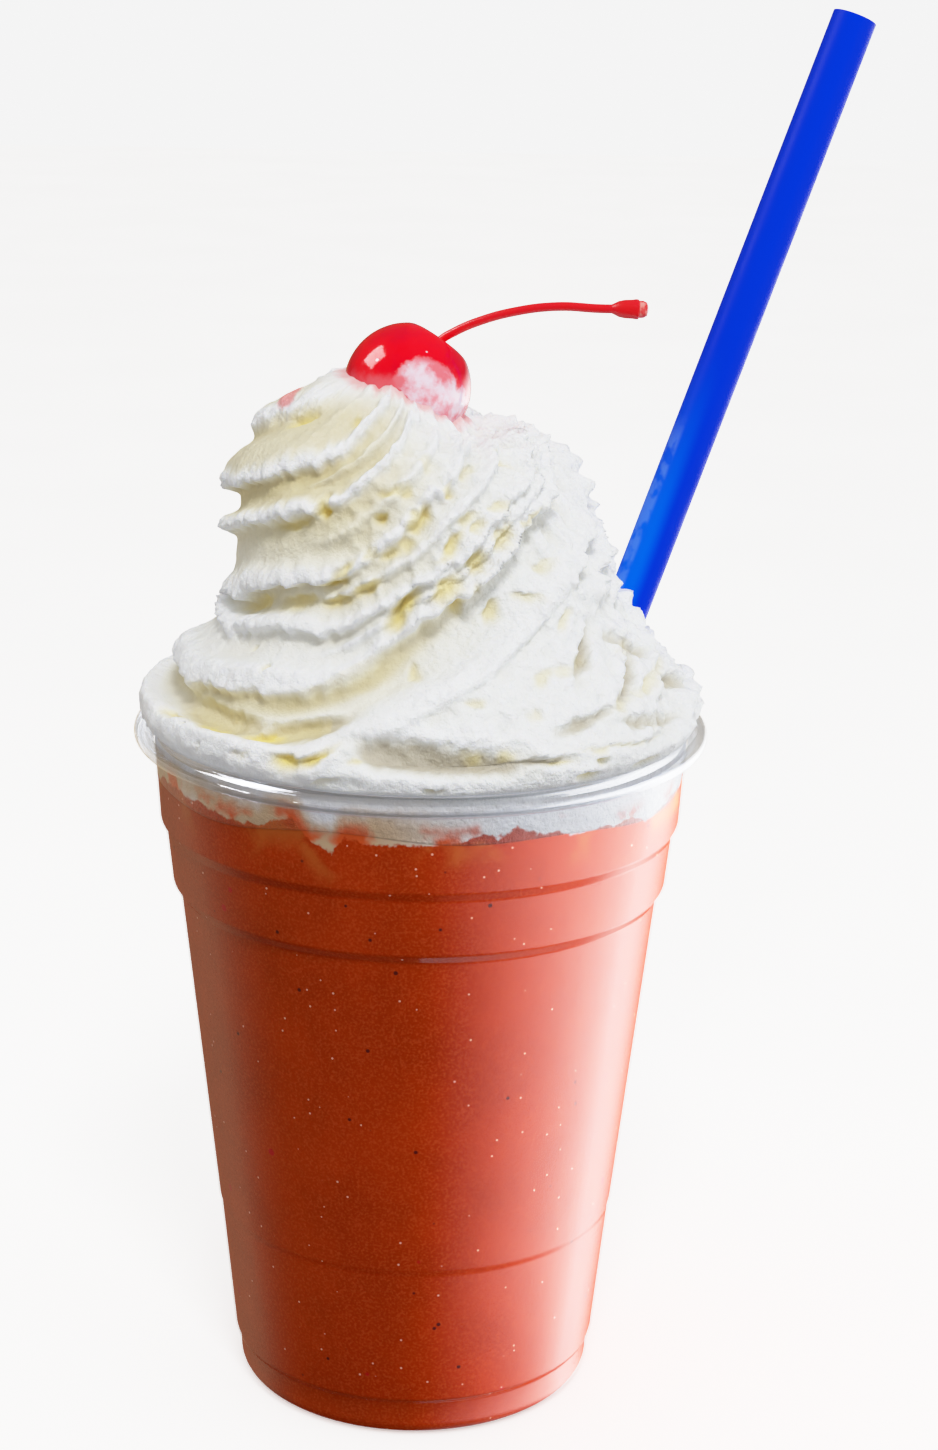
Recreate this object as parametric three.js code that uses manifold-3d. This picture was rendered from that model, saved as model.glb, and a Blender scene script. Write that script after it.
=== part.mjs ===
// A fruit smoothie in a clear plastic cup, topped with piped whipped cream and a cherry, with a drinking straw.
// Millimetres, +Z up, -Y is the front. The origin is the centre of the cup's flat underside.
import * as THREE from "three";
import { mergeVertices } from "three/addons/utils/BufferGeometryUtils.js";
import Module from "manifold-3d";

const wasm = await Module();
wasm.setup();

// Shared
const GAP = 0.3; // between pieces that touch
const AROUND = 48; // facets round the cup and the drink
const MERGE = 1e-4; // corners closer than this become one

// Cup: a tumbler formed from clear sheet, with a rolled lip, two stacking steps and a faint line low down
const CUP_HEIGHT = 121;
const RIM_RADIUS = 49;
const LIP_ROLL = 1.85; // radius of the rolled lip
const LIP_START = -140; // degrees, where the roll leaves the outer wall
const LIP_STEPS = 8;
const WALL = 0.6;
const FLOOR = 0.8;
const FOOT_ROUND = 3.1; // rounding between the flat underside and the foot
const FOOT_STEPS = 3;
const FOOT_RADIUS = 31.6;
const FOOT_HEIGHT = 7;
const OUTER_WALL = [
  [31.8, FOOT_HEIGHT],
  [32.5, 7.8],
  [35.0, 32.6],
  [35.3, 33.6],
  [41.6, 91.2],
  [42.9, 92.8],
  [43.9, 102.4],
  [44.9, 104.0],
  [45.7, 117.2],
]; // radius and height of each corner, from the foot to the lip

// Drink: its top meets the cream in slow waves
const DRINK_LEVEL = 112.4;
const DRINK_WAVES = [
  [0.9, 3, 0.4],
  [0.6, 7, 2.1],
]; // height, count and phase of the waves round the wall
const DRINK_RINGS = [0.75, 0.4]; // rings inside the wall on the drink's top, as shares of its radius

// Cream: the outline of the mound, from the lip to the crown, and the lean of its axis
const CREAM_AROUND = 76;
const CREAM_STEPS = 36; // rows from the lip to the crown
const MOUND = [
  [46.9, 121.5],
  [47.9, 123.6],
  [47.6, 126.2],
  [45.2, 129.2],
  [42.6, 132.8],
  [39.0, 136.8],
  [35.6, 140.4],
  [33.6, 145],
  [33.0, 150],
  [32.0, 155],
  [30.8, 160],
  [29.2, 165],
  [25.6, 170],
  [20.6, 174.4],
  [15.0, 178],
  [9.0, 179.6],
]; // radius and height
const CROWN_HEIGHT = 179.8;
const LEAN_HEIGHTS = [140, 178];
const LEAN = -5.5; // how far the crown's centre lies from the cup's axis, towards -X
const CROWN_FALL = 8; // how much lower the crown lies on its right
const FALL_FROM_X = [-8, 10];
const FALL_HEIGHTS = [170, 181];

// Ridges: each one starts low on the left and climbs round the front to the right
const RIDGES = [
  [114.4, 0.05, [-45, -15], 5.4, 0.34],
  [121.6, 0.05, [-45, -15], 5.0, 0.38],
  [134.4, 0.05, [-45, -15], 2.8, 0.42],
  [141.8, 0.04, [-40, -6], 3.8, 0.34],
  [147, 0.13, [-42, 5], 2.9, 0.34],
  [158, 0.14, [-42, 5], 3.4, 0.34],
  [165.2, 0.14, [-42, 5], 3.6, 0.6],
  [177.2, 0.14, [-42, 5], 3.2, 0.5],
  [187, 0.14, [-42, 5], 3.2, 0.34],
]; // height at the left front, slope, turns where it gets steeper, depth and roll of the hollow above it
const LOWER_RIDGES = 11; // more below them, which come in further round
const LOWER_SPACING = 7.6;
const LEFT_FRONT = -60; // degrees from the front
const CLIMB = 0.27; // mm a degree that a ridge gains where it is steep
const FLUTE_FALL = 0.26; // share of a flute that the upper ridge's edge takes
const RIDGE_DROOP = 0.9;
const DROOP_REACH = 0.14; // share of a flute
const PLAIN_BELOW = RIDGES[1][0]; // no flutes lie under this ridge in front
const PLAIN_TURNS = [42, 75]; // degrees, where they come back on the right
const BLOB_HEIGHTS = [126.5, 129.5]; // top of the smooth blob at the left of the lip
const BLOB_LEFT = [-140, -110];
const BLOB_RIGHT = [-34, -22];
const ROLL_HEIGHTS = [121.8, 125]; // the roll on the lip
const ROLL_SHARE = 0.85; // of the flutes that it smooths away
const CROWN_RADII = [6, 17]; // inside these the flutes run out

// Hollow under the front edge, just above the roll on the lip
const FRONT_HOLLOW = { turn: 5, height: 127.2, halfLength: 13, halfWidth: 2.6, depth: 4.8 };
const SEAM = [150, 190]; // degrees, where the swirl's end meets its start at the back

// Cherry and its stem
const CHERRY_RADIUS = 10.6;
const CHERRY_CENTRE = [-3, 0, 177.4];
const CHERRY_AXIS = [0.556, 0.227, 0.8]; // towards the stem
const DIMPLE_DEPTH = 1.9;
const DIMPLE_ANGLE = 34; // degrees from the axis to the dimple's edge
const CHERRY_FACETS = 20;
const CHERRY_STEPS = 12;
const STEM_PATH = [
  [0.9, 1.4, 183.1],
  [2.2, 1.9, 184.8],
  [4.8, 1.7, 186.5],
  [8.4, 1.2, 188.2],
  [14.6, 0.6, 190.1],
  [21.6, 0.2, 191.1],
  [28.6, 0, 190.9],
  [31.5, 0, 190.9],
];
const STEM_RADIUS = 0.72;
const STEM_FACETS = 8;
const STEM_STEPS = 22;
const KNOB_RADIUS = 1.65;
const KNOB_LENGTH = 4.4;
const KNOB_OVERLAP = 1; // of the knob over the stem's end
const KNOB_SHAPE = [
  [0.8, 0.25],
  [1, 0.6],
  [0.95, 1],
]; // shares of its radius and length
const TIP_RADIUS = 1.35;
const TIP_END = 0.7; // share of its radius
const TIP_LENGTH = 1.5;
const KNOB_FACETS = 12;

// Straw: stands in the drink and leans out to the back right
const STRAW_RADIUS = 3.8;
const STRAW_BORE = 3.2;
const STRAW_TOP = [71.5, 27, 237.4];
const STRAW_LEAN = [0.339, 0.161, 0.927]; // along the straw, upwards
const STRAW_LENGTH = 248;
const STRAW_FACETS = 24;

// Maths
const clamp = (x, low, high) => Math.min(high, Math.max(low, x));
const radians = (degrees) => (degrees * Math.PI) / 180;

function smooth(x, from, to) {
  const t = clamp((x - from) / (to - from), 0, 1);
  return t * t * (3 - 2 * t);
}

// The area under smooth() up to x
function smoothArea(x, from, to) {
  const t = clamp((x - from) / (to - from), 0, 1);
  return (to - from) * (t ** 3 - t ** 4 / 2) + Math.max(0, x - to);
}

// Reads a height-sorted outline of [radius, height] corners
function radiusAt(outline, height) {
  const above = outline.findIndex((corner) => corner[1] >= height);
  if (above === -1) return outline[outline.length - 1][0];
  if (above === 0) return outline[0][0];
  const [r0, z0] = outline[above - 1];
  const [r1, z1] = outline[above];
  return r0 + ((r1 - r0) * (height - z0)) / (z1 - z0);
}

// Solids
function solidOf(geometry) {
  const bare = geometry.clone();
  bare.deleteAttribute("normal");
  bare.deleteAttribute("uv");
  const merged = mergeVertices(bare, MERGE);
  const corners = merged.index.array;
  const kept = [];
  for (let i = 0; i < corners.length; i += 3) {
    const [a, b, c] = corners.slice(i, i + 3);
    if (a !== b && b !== c && a !== c) kept.push(a, b, c);
  }
  return new wasm.Manifold(
    new wasm.Mesh({
      numProp: 3,
      vertProperties: merged.attributes.position.array,
      triVerts: new Uint32Array(kept),
    }),
  );
}

function geometryOf(solid) {
  const mesh = solid.getMesh();
  return new THREE.BufferGeometry()
    .setAttribute("position", new THREE.BufferAttribute(mesh.vertProperties, 3))
    .setIndex(new THREE.BufferAttribute(mesh.triVerts, 1));
}

// Turns a profile of [radius, height] points about the Z axis
function turned(profile, facets) {
  const points = profile.map(([radius, height]) => new THREE.Vector2(radius, height));
  return new THREE.LatheGeometry(points, facets).rotateX(Math.PI / 2);
}

// Joins rings of points, listed from the bottom up, into one closed surface
function closedRings(rings, bottom, top) {
  const count = rings[0].length;
  const points = [bottom, ...rings.flat(), top];
  const last = points.length - 1;
  const at = (ring, i) => 1 + ring * count + (i % count);
  const faces = [];
  for (let i = 0; i < count; i++) {
    faces.push(0, at(0, i + 1), at(0, i));
    faces.push(last, at(rings.length - 1, i), at(rings.length - 1, i + 1));
    for (let ring = 0; ring + 1 < rings.length; ring++) {
      faces.push(at(ring, i), at(ring, i + 1), at(ring + 1, i + 1));
      faces.push(at(ring, i), at(ring + 1, i + 1), at(ring + 1, i));
    }
  }
  return new THREE.BufferGeometry().setFromPoints(points).setIndex(faces);
}

function ringOf(facets, pointAt) {
  return Array.from({ length: facets }, (_, i) => pointAt((2 * Math.PI * i) / facets));
}

function onRing(angle, radius, height) {
  return new THREE.Vector3(radius * Math.cos(angle), radius * Math.sin(angle), height);
}

// Cup
function footProfile(inset) {
  const round = Array.from({ length: FOOT_STEPS + 1 }, (_, i) => {
    const turn = radians(-90 + (90 * i) / FOOT_STEPS);
    const centre = FOOT_RADIUS - FOOT_ROUND;
    const radius = centre + (FOOT_ROUND - inset) * Math.cos(turn);
    return [radius, FOOT_ROUND + (FOOT_ROUND - inset) * Math.sin(turn)];
  });
  return round.filter(([, height]) => height >= inset);
}

function lipProfile() {
  return Array.from({ length: LIP_STEPS + 1 }, (_, i) => {
    const turn = radians(LIP_START + ((180 - LIP_START) * i) / LIP_STEPS);
    const radius = RIM_RADIUS - LIP_ROLL + LIP_ROLL * Math.cos(turn);
    return [radius, CUP_HEIGHT - LIP_ROLL + LIP_ROLL * Math.sin(turn)];
  });
}

function cup() {
  const inner = OUTER_WALL.map(([radius, height]) => [radius - WALL, height]).reverse();
  const innerFoot = footProfile(FLOOR).reverse();
  const profile = [
    [0, 0],
    ...footProfile(0),
    ...OUTER_WALL,
    ...lipProfile(),
    ...inner,
    ...innerFoot,
    [0, FLOOR],
  ];
  return turned(profile, AROUND);
}

// Drink
function drinkLevel(angle) {
  return DRINK_WAVES.reduce(
    (level, [height, count, phase]) => level + height * Math.sin(count * angle + phase),
    DRINK_LEVEL,
  );
}

function drink() {
  const inset = WALL + GAP;
  const wall = OUTER_WALL.filter(([, height]) => height < DRINK_LEVEL);
  const sides = [...footProfile(FLOOR + GAP), ...wall.map(([radius, height]) => [radius - inset, height])];
  const rings = sides.map(([radius, height]) => ringOf(AROUND, (angle) => onRing(angle, radius, height)));
  const top = (share) =>
    ringOf(AROUND, (angle) => {
      const level = drinkLevel(angle);
      const radius = share * (radiusAt(OUTER_WALL, level) - inset);
      return onRing(angle, radius, DRINK_LEVEL + share * (level - DRINK_LEVEL));
    });
  rings.push(top(1), ...DRINK_RINGS.map(top));
  const floor = new THREE.Vector3(0, 0, FLOOR + GAP);
  return closedRings(rings, floor, new THREE.Vector3(0, 0, DRINK_LEVEL));
}

// Cream
function ridgeHeight([left, slope, steep], degrees) {
  return left + slope * (degrees - LEFT_FRONT) + CLIMB * smoothArea(degrees, ...steep);
}

const ALL_RIDGES = [
  ...Array.from({ length: LOWER_RIDGES }, (_, i) => {
    const [left, ...rest] = RIDGES[0];
    return [left - LOWER_SPACING * (LOWER_RIDGES - i), ...rest];
  }),
  ...RIDGES,
];

// The section of a flute: flat between the roll of the lower ridge and the steep edge under the upper one
function hollow(share, rise) {
  const roll = 1 - Math.exp(-((share / rise) ** 2));
  return roll * (1 - Math.exp(-(((1 - share) / FLUTE_FALL) ** 2)));
}

// How far the surface lies inside the ridges' crests, and how much of a crest the point is
function flute(degrees, height) {
  const heights = ALL_RIDGES.map((ridge) => ridgeHeight(ridge, degrees));
  const above = clamp(heights.findIndex((ridge) => ridge > height), 1, heights.length - 1);
  const share = clamp((height - heights[above - 1]) / (heights[above] - heights[above - 1]), 0, 1);
  const [left, , , deep, rise] = ALL_RIDGES[above - 1];
  const kept = left < PLAIN_BELOW ? smooth(degrees, ...PLAIN_TURNS) : 1;
  const edge = Math.min(share, 1 - share) / DROOP_REACH;
  return [kept * deep * hollow(share, rise), Math.exp(-edge * edge)];
}

// The flutes, with the swirl's end blended into its start at the back
function swirl(degrees, height) {
  if (degrees < SEAM[0] && degrees + 360 > SEAM[1]) return flute(degrees, height);
  const here = degrees >= SEAM[0] ? degrees : degrees + 360;
  const other = here - 360;
  const share = smooth(here, ...SEAM);
  const [first, firstCrest] = flute(here, height);
  const [next, nextCrest] = flute(other, height);
  return [first + (next - first) * share, firstCrest + (nextCrest - firstCrest) * share];
}

// Smooth blob at the left of the lip, the flat roll along the front, and the quiet crown
function fluteShare(degrees, height, radius) {
  const aside = (1 - smooth(degrees, ...BLOB_RIGHT)) * smooth(degrees, ...BLOB_LEFT);
  const blob = aside * (1 - smooth(height, ...BLOB_HEIGHTS));
  const roll = 1 - smooth(height, ...ROLL_HEIGHTS);
  return (1 - blob) * (1 - ROLL_SHARE * roll) * smooth(radius, ...CROWN_RADII);
}

function frontHollow(degrees, height, radius) {
  const along = (radians(degrees - FRONT_HOLLOW.turn) * radius) / FRONT_HOLLOW.halfLength;
  const up = (height - FRONT_HOLLOW.height) / FRONT_HOLLOW.halfWidth;
  return FRONT_HOLLOW.depth * Math.exp(-((along ** 2 + up ** 2) ** 2));
}

function creamPoint(angle, [radius, height], [outward, upward]) {
  const wrapped = (angle * 180) / Math.PI + 90;
  const degrees = wrapped > SEAM[1] ? wrapped - 360 : wrapped;
  const [depth, crest] = swirl(degrees, height);
  const share = fluteShare(degrees, height, radius);
  const inward = depth * share + frontHollow(degrees, height, radius);
  const droop = RIDGE_DROOP * crest * share;
  const point = onRing(angle, radius - inward * outward, height - inward * upward - droop);
  point.x += LEAN * smooth(height, ...LEAN_HEIGHTS);
  point.z -= CROWN_FALL * smooth(point.x, ...FALL_FROM_X) * smooth(height, ...FALL_HEIGHTS);
  return point;
}

function moundRows() {
  const curve = new THREE.SplineCurve(MOUND.map(([radius, height]) => new THREE.Vector2(radius, height)));
  return Array.from({ length: CREAM_STEPS + 1 }, (_, i) => {
    const point = curve.getPointAt(i / CREAM_STEPS);
    const tangent = curve.getTangentAt(i / CREAM_STEPS);
    return [
      [point.x, point.y],
      [tangent.y, -tangent.x],
    ];
  });
}

function cream() {
  const inset = WALL + GAP;
  const plain = (radius, height) => ringOf(CREAM_AROUND, (angle) => onRing(angle, radius, height));
  const bottom = (share) =>
    ringOf(CREAM_AROUND, (angle) => {
      const level = drinkLevel(angle) + GAP;
      const radius = share * (radiusAt(OUTER_WALL, level) - inset);
      return onRing(angle, radius, DRINK_LEVEL + GAP + share * (level - DRINK_LEVEL - GAP));
    });
  const [wallRadius, wallTop] = OUTER_WALL.at(-1);
  const lipRadius = RIM_RADIUS - LIP_ROLL;
  const lipCentre = CUP_HEIGHT - LIP_ROLL;
  const over = LIP_ROLL + GAP;
  const lip = [180, 150, 120].map((turn) =>
    plain(lipRadius + over * Math.cos(radians(turn)), lipCentre + over * Math.sin(radians(turn))),
  );
  const rings = [...DRINK_RINGS.map(bottom).reverse(), bottom(1), plain(wallRadius - inset, wallTop), ...lip];
  for (const [place, facing] of moundRows()) {
    rings.push(ringOf(CREAM_AROUND, (angle) => creamPoint(angle, place, facing)));
  }
  const crown = new THREE.Vector3(LEAN, 0, CROWN_HEIGHT);
  return closedRings(rings, new THREE.Vector3(0, 0, DRINK_LEVEL + GAP), crown);
}

// Cherry
function cherryBody(grow) {
  const profile = Array.from({ length: CHERRY_STEPS + 1 }, (_, i) => {
    const turn = (Math.PI * i) / CHERRY_STEPS;
    const nearStem = 1 - smooth(180 - (turn * 180) / Math.PI, 0, DIMPLE_ANGLE);
    const radius = CHERRY_RADIUS + grow - (grow ? 0 : DIMPLE_DEPTH) * nearStem;
    return [i % CHERRY_STEPS ? radius * Math.sin(turn) : 0, -radius * Math.cos(turn)];
  });
  const up = new THREE.Vector3(0, 0, 1);
  const turn = new THREE.Quaternion().setFromUnitVectors(up, new THREE.Vector3(...CHERRY_AXIS).normalize());
  return turned(profile, CHERRY_FACETS).applyQuaternion(turn).translate(...CHERRY_CENTRE);
}

function stemRod() {
  const path = new THREE.CatmullRomCurve3(STEM_PATH.map((point) => new THREE.Vector3(...point)));
  const section = new THREE.Shape(
    Array.from({ length: STEM_FACETS }, (_, i) => {
      const turn = (2 * Math.PI * i) / STEM_FACETS;
      return new THREE.Vector2(STEM_RADIUS * Math.cos(turn), STEM_RADIUS * Math.sin(turn));
    }),
  );
  return new THREE.ExtrudeGeometry(section, { steps: STEM_STEPS, extrudePath: path });
}

function stemKnob() {
  const profile = [
    [0, 0],
    [STEM_RADIUS, 0],
    ...KNOB_SHAPE.map(([wide, along]) => [KNOB_RADIUS * wide, KNOB_LENGTH * along]),
    [TIP_RADIUS, KNOB_LENGTH],
    [TIP_RADIUS * TIP_END, KNOB_LENGTH + TIP_LENGTH],
    [0, KNOB_LENGTH + TIP_LENGTH],
  ];
  const end = STEM_PATH[STEM_PATH.length - 1];
  return turned(profile, KNOB_FACETS)
    .rotateY(Math.PI / 2)
    .translate(end[0] - KNOB_OVERLAP, end[1], end[2]);
}

function cherry() {
  return geometryOf(solidOf(cherryBody(0)).add(solidOf(stemRod())).add(solidOf(stemKnob())));
}

// Straw
function alongStraw(geometry) {
  const axis = new THREE.Vector3(...STRAW_LEAN).normalize();
  const bottom = new THREE.Vector3(...STRAW_TOP).addScaledVector(axis, -STRAW_LENGTH);
  const turn = new THREE.Quaternion().setFromUnitVectors(new THREE.Vector3(0, 0, 1), axis);
  return geometry.applyQuaternion(turn).translate(bottom.x, bottom.y, bottom.z);
}

function straw() {
  const ring = turned(
    [
      [STRAW_BORE, 0],
      [STRAW_RADIUS, 0],
      [STRAW_RADIUS, STRAW_LENGTH],
      [STRAW_BORE, STRAW_LENGTH],
      [STRAW_BORE, 0],
    ],
    STRAW_FACETS,
  );
  return alongStraw(ring);
}

function strawRoom() {
  const radius = STRAW_RADIUS + GAP;
  const rod = turned(
    [
      [0, -GAP],
      [radius, -GAP],
      [radius, STRAW_LENGTH],
      [0, STRAW_LENGTH],
    ],
    STRAW_FACETS,
  );
  return solidOf(alongStraw(rod));
}

// Assembly
function plastic(color, roughness, opacity = 1) {
  return new THREE.MeshStandardMaterial({ color, roughness, metalness: 0, opacity, transparent: opacity < 1 });
}

function addPiece(group, name, geometry, material) {
  const mesh = new THREE.Mesh(geometry, material);
  mesh.name = name;
  group.add(mesh);
}

const smoothie = new THREE.Group();
const room = strawRoom();
addPiece(smoothie, "cup", cup(), plastic("#e9eef0", 0.08, 0.3));
addPiece(smoothie, "drink", geometryOf(solidOf(drink()).subtract(room)), plastic("#b8472f", 0.45));
addPiece(
  smoothie,
  "cream",
  geometryOf(solidOf(cream()).subtract(room).subtract(solidOf(cherryBody(GAP)))),
  plastic("#f5f3ea", 0.6),
);
addPiece(smoothie, "cherry", cherry(), plastic("#d0122a", 0.15));
addPiece(smoothie, "straw", straw(), plastic("#0a49df", 0.3));

export default smoothie;
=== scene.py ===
from math import atan2, cos, degrees, hypot, pi, radians, sin

import bpy
import numpy as np
from mathutils import Euler, Matrix, Vector, noise


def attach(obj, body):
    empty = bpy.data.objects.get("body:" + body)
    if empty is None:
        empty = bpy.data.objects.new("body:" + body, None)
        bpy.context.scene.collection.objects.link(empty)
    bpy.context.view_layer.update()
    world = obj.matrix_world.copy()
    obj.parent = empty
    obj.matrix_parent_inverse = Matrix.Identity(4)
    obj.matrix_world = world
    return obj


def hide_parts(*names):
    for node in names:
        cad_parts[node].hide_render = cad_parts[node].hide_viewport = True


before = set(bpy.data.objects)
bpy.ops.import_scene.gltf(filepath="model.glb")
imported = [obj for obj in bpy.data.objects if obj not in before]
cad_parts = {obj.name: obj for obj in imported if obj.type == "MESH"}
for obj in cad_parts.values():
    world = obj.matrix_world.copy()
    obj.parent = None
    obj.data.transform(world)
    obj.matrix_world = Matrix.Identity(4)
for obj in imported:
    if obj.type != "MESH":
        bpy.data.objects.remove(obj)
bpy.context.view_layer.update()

MM = 0.001

# The camera stands in front of the cup and a little above it, and looks down at it.
# The picture was taken from close by, so that the cup narrows strongly towards its foot.
CAMERA_SPOT = Vector((8.22, -455.52, 248.5)) * MM
CAMERA_DOWN = radians(15.84)
CAMERA_ROLL = radians(1.01)
FRAME_HEIGHT = 1450  # pixels
FOCAL_PIXELS = 2757
SENSOR = 36

bpy.ops.object.camera_add(location=CAMERA_SPOT)
camera = bpy.context.object
camera.data.sensor_width = SENSOR
camera.data.lens = FOCAL_PIXELS / FRAME_HEIGHT * SENSOR
facing = Euler((pi / 2 - CAMERA_DOWN, 0, 0)).to_matrix().to_4x4()
camera.matrix_world = Matrix.Translation(CAMERA_SPOT) @ facing @ Matrix.Rotation(CAMERA_ROLL, 4, "Z")
bpy.context.scene.camera = camera


# The floor is one pale sheet that the cup stands on, matt and a little warm.
# It isn't part of the object.
FLOOR_SIZE = 6
FLOOR_COLOUR = (0.86, 0.85, 0.84, 1)


class Wire:
    """An output of a shader node. Sums on wires add Math nodes, and node() adds any other kind."""

    def __init__(self, tree, socket=None):
        self.tree = tree
        self.socket = socket

    def node(self, kind, settings=None, inputs=None, output=0):
        node = self.tree.nodes.new("ShaderNode" + kind)
        for name, value in (settings or {}).items():
            if name == "stops":
                self.set_stops(node.color_ramp.elements, value)
            else:
                setattr(node, name, value)
        for name, value in (inputs or {}).items():
            if isinstance(value, Wire):
                self.tree.links.new(value.socket, node.inputs[name])
            else:
                node.inputs[name].default_value = value
        return Wire(self.tree, node.outputs[output])

    def set_stops(self, elements, stops):
        while len(elements) < len(stops):
            elements.new(0.5)
        for element, (place, colour) in zip(elements, stops):
            element.position = place
            element.color = colour

    def math(self, operation, first, second):
        return self.node("Math", {"operation": operation}, {0: first, 1: second})

    def __add__(self, other):
        return self.math("ADD", self, other)

    def __sub__(self, other):
        return self.math("SUBTRACT", self, other)

    def __rsub__(self, other):
        return self.math("SUBTRACT", other, self)

    def __mul__(self, other):
        return self.math("MULTIPLY", self, other)

    def __pow__(self, other):
        return self.math("POWER", self, other)

    __radd__ = __add__
    __rmul__ = __mul__

    def between(self, low, high, out_low=0, out_high=1):
        """Climbs smoothly from one value to the other as the wire goes from low to high."""
        settings = {"interpolation_type": "SMOOTHSTEP"}
        ends = {"From Min": low, "From Max": high, "To Min": out_low, "To Max": out_high}
        return self.node("MapRange", settings, {"Value": self, **ends})

    def other(self, output):
        """Another output of the same node."""
        return Wire(self.tree, self.socket.node.outputs[output])

    def mix(self, first, second):
        """The first colour where the wire is 0, the second where it is 1."""
        return self.node("Mix", {"data_type": "RGBA"}, {"Factor": self, 6: first, 7: second}, output=2)

    def noise(self, place, scale, detail=2, roughness=0.5):
        inputs = {"Vector": place, "Scale": scale, "Detail": detail, "Roughness": roughness}
        return self.node("TexNoise", {}, inputs)


def new_material(name, **values):
    """A material with a Principled shader, whose sockets are set by name. Also gives the wires' start."""
    material = bpy.data.materials.new(name)
    material.use_nodes = True
    shader = material.node_tree.nodes["Principled BSDF"]
    for socket, value in values.items():
        shader.inputs[socket.replace("_", " ")].default_value = value
    return material, shader, Wire(material.node_tree)


def join(shader, **wires):
    for socket, wire in wires.items():
        wire.tree.links.new(wire.socket, shader.inputs[socket.replace("_", " ")])


def bumped(start, height, strength, distance):
    return start.node("Bump", {}, {"Height": height, "Strength": strength, "Distance": distance})


bpy.ops.object.select_all(action="DESELECT")
bpy.ops.mesh.primitive_plane_add(size=FLOOR_SIZE)
floor = bpy.context.object
floor.name = "floor"
floor_material, floor_shader, start = new_material(
    "pale floor", Base_Color=FLOOR_COLOUR, Roughness=0.7, Emission_Color=FLOOR_COLOUR, Emission_Strength=0.8
)
place = start.node("TexCoord", output="Object")
join(floor_shader, Roughness=start.noise(place, 9).between(0.3, 0.7, 0.62, 0.75))
floor.data.materials.append(floor_material)
floor.visible_glossy = False
floor.visible_diffuse = False


# The light is soft and comes from a large window on the right, a lamp high up in front, and pale walls.
# The walls show in glossy pieces as in a real room, bright on the window's side and warm on the other.
WINDOW_SPOT = (0.62, -0.27, 0.17)
WINDOW_SIZE = (0.5, 0.5)
WINDOW_POWER = 1
WINDOW_COLOUR = (0.93, 0.97, 1)
LAMP_SPOT = (0.06, -0.48, 0.7)
LAMP_SIZE = (0.16, 0.12)
LAMP_POWER = 2.9
SKYLIGHT_SPOT = (-0.5, 0.02, 0.62)
SKYLIGHT_SIZE = (0.34, 0.34)
SKYLIGHT_POWER = 4  # shows in glossy pieces alone
LIT_SPOT = Vector((0, 0, 0.11))
ROOM_GLOW = 0.36  # the walls' light, and how much more comes from above, from behind and from the right
CEILING_GLOW = 0.35
WALL_GLOW = 0.3
RIGHT_GLOW = 0.12
MIRRORED_RIGHT = 5.2  # how bright the room's sides show in glossy pieces
MIRRORED_LEFT = 0.5
MIRRORED_CEILING = 0.12
MIRRORED_FRONT = 0.2
RIGHT_WALL = (0.1, 2.1)  # radians from the front, round to the right, where the bright wall sets in
RIGHT_WALL_END = (3.1, 2.3)
LEFT_WALL = (-1.3, -2.4)
BACK_WALL = (2.4, 3.1)
WALLS_TOP = (0.1, -0.25)  # the walls show below this slope, dimmer where they meet the floor
WALLS_FOOT = (-0.8, -0.55, 0.12, 1)
CEILING_FOOT = (-0.1, 0.2)
WARM = (1, 0.75, 0.45, 1)
BROWN = (1, 0.5, 0.12, 1)
BROWN_UNTIL = (-1.2, -2)
WARM_UNTIL = (0.5, 0)
BACKDROP_GLOW = 1.25
WHITE_LIGHT = (1, 1, 1, 1)
SHOULDER = [(0.2, 0.2), (0.5, 0.5), (0.75, 0.7), (1, 0.83), (1.5, 0.95)]  # light, and how bright it shows
BRIGHTEST = 2.5


def add_lamp(name, spot, size, power):
    bpy.ops.object.light_add(type="AREA", location=spot)
    lamp = bpy.context.object
    lamp.name = name
    lamp.data.shape = "RECTANGLE"
    lamp.data.size, lamp.data.size_y = size
    lamp.data.energy = power
    lamp.rotation_euler = (LIT_SPOT - Vector(spot)).to_track_quat("-Z", "Y").to_euler()
    return lamp


window = add_lamp("window", WINDOW_SPOT, WINDOW_SIZE, WINDOW_POWER)
window.visible_glossy = False
window.data.color = WINDOW_COLOUR
add_lamp("skylight", SKYLIGHT_SPOT, SKYLIGHT_SIZE, SKYLIGHT_POWER).visible_diffuse = False
add_lamp("lamp", LAMP_SPOT, LAMP_SIZE, LAMP_POWER).visible_glossy = False
world = bpy.data.worlds.new("room")
world.use_nodes = True
bpy.context.scene.world = world
room = Wire(world.node_tree)
seen = room.node("LightPath", output="Is Camera Ray")
backdrop = world.node_tree.nodes["Background"]
way = room.node("TexCoord", output="Generated")
to_right = room.node("SeparateXYZ", {}, {"Vector": way})
to_back, up = to_right.other("Y"), to_right.other("Z")
glow = up.between(-0.1, 1, 0, CEILING_GLOW) + to_back.between(-0.2, 1, 0, WALL_GLOW)
glow = glow + to_right.between(-0.3, 1, 0, RIGHT_GLOW) + ROOM_GLOW
mirrored = room.node("LightPath", output="Is Glossy Ray")
around = to_right.math("ARCTAN2", to_right, to_back * -1)
walls = around.between(*RIGHT_WALL, 0, MIRRORED_RIGHT) * around.between(*RIGHT_WALL_END) + MIRRORED_FRONT
walls = walls + around.between(*LEFT_WALL, 0, MIRRORED_LEFT) + around.between(*BACK_WALL, 0, MIRRORED_LEFT)
walls = walls * up.between(*WALLS_TOP) * up.between(*WALLS_FOOT)
shown = walls + up.between(*CEILING_FOOT, 0, MIRRORED_CEILING)
glow = glow + mirrored * (shown - glow)
tint = around.between(*BROWN_UNTIL).mix(BROWN, WARM)
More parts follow.
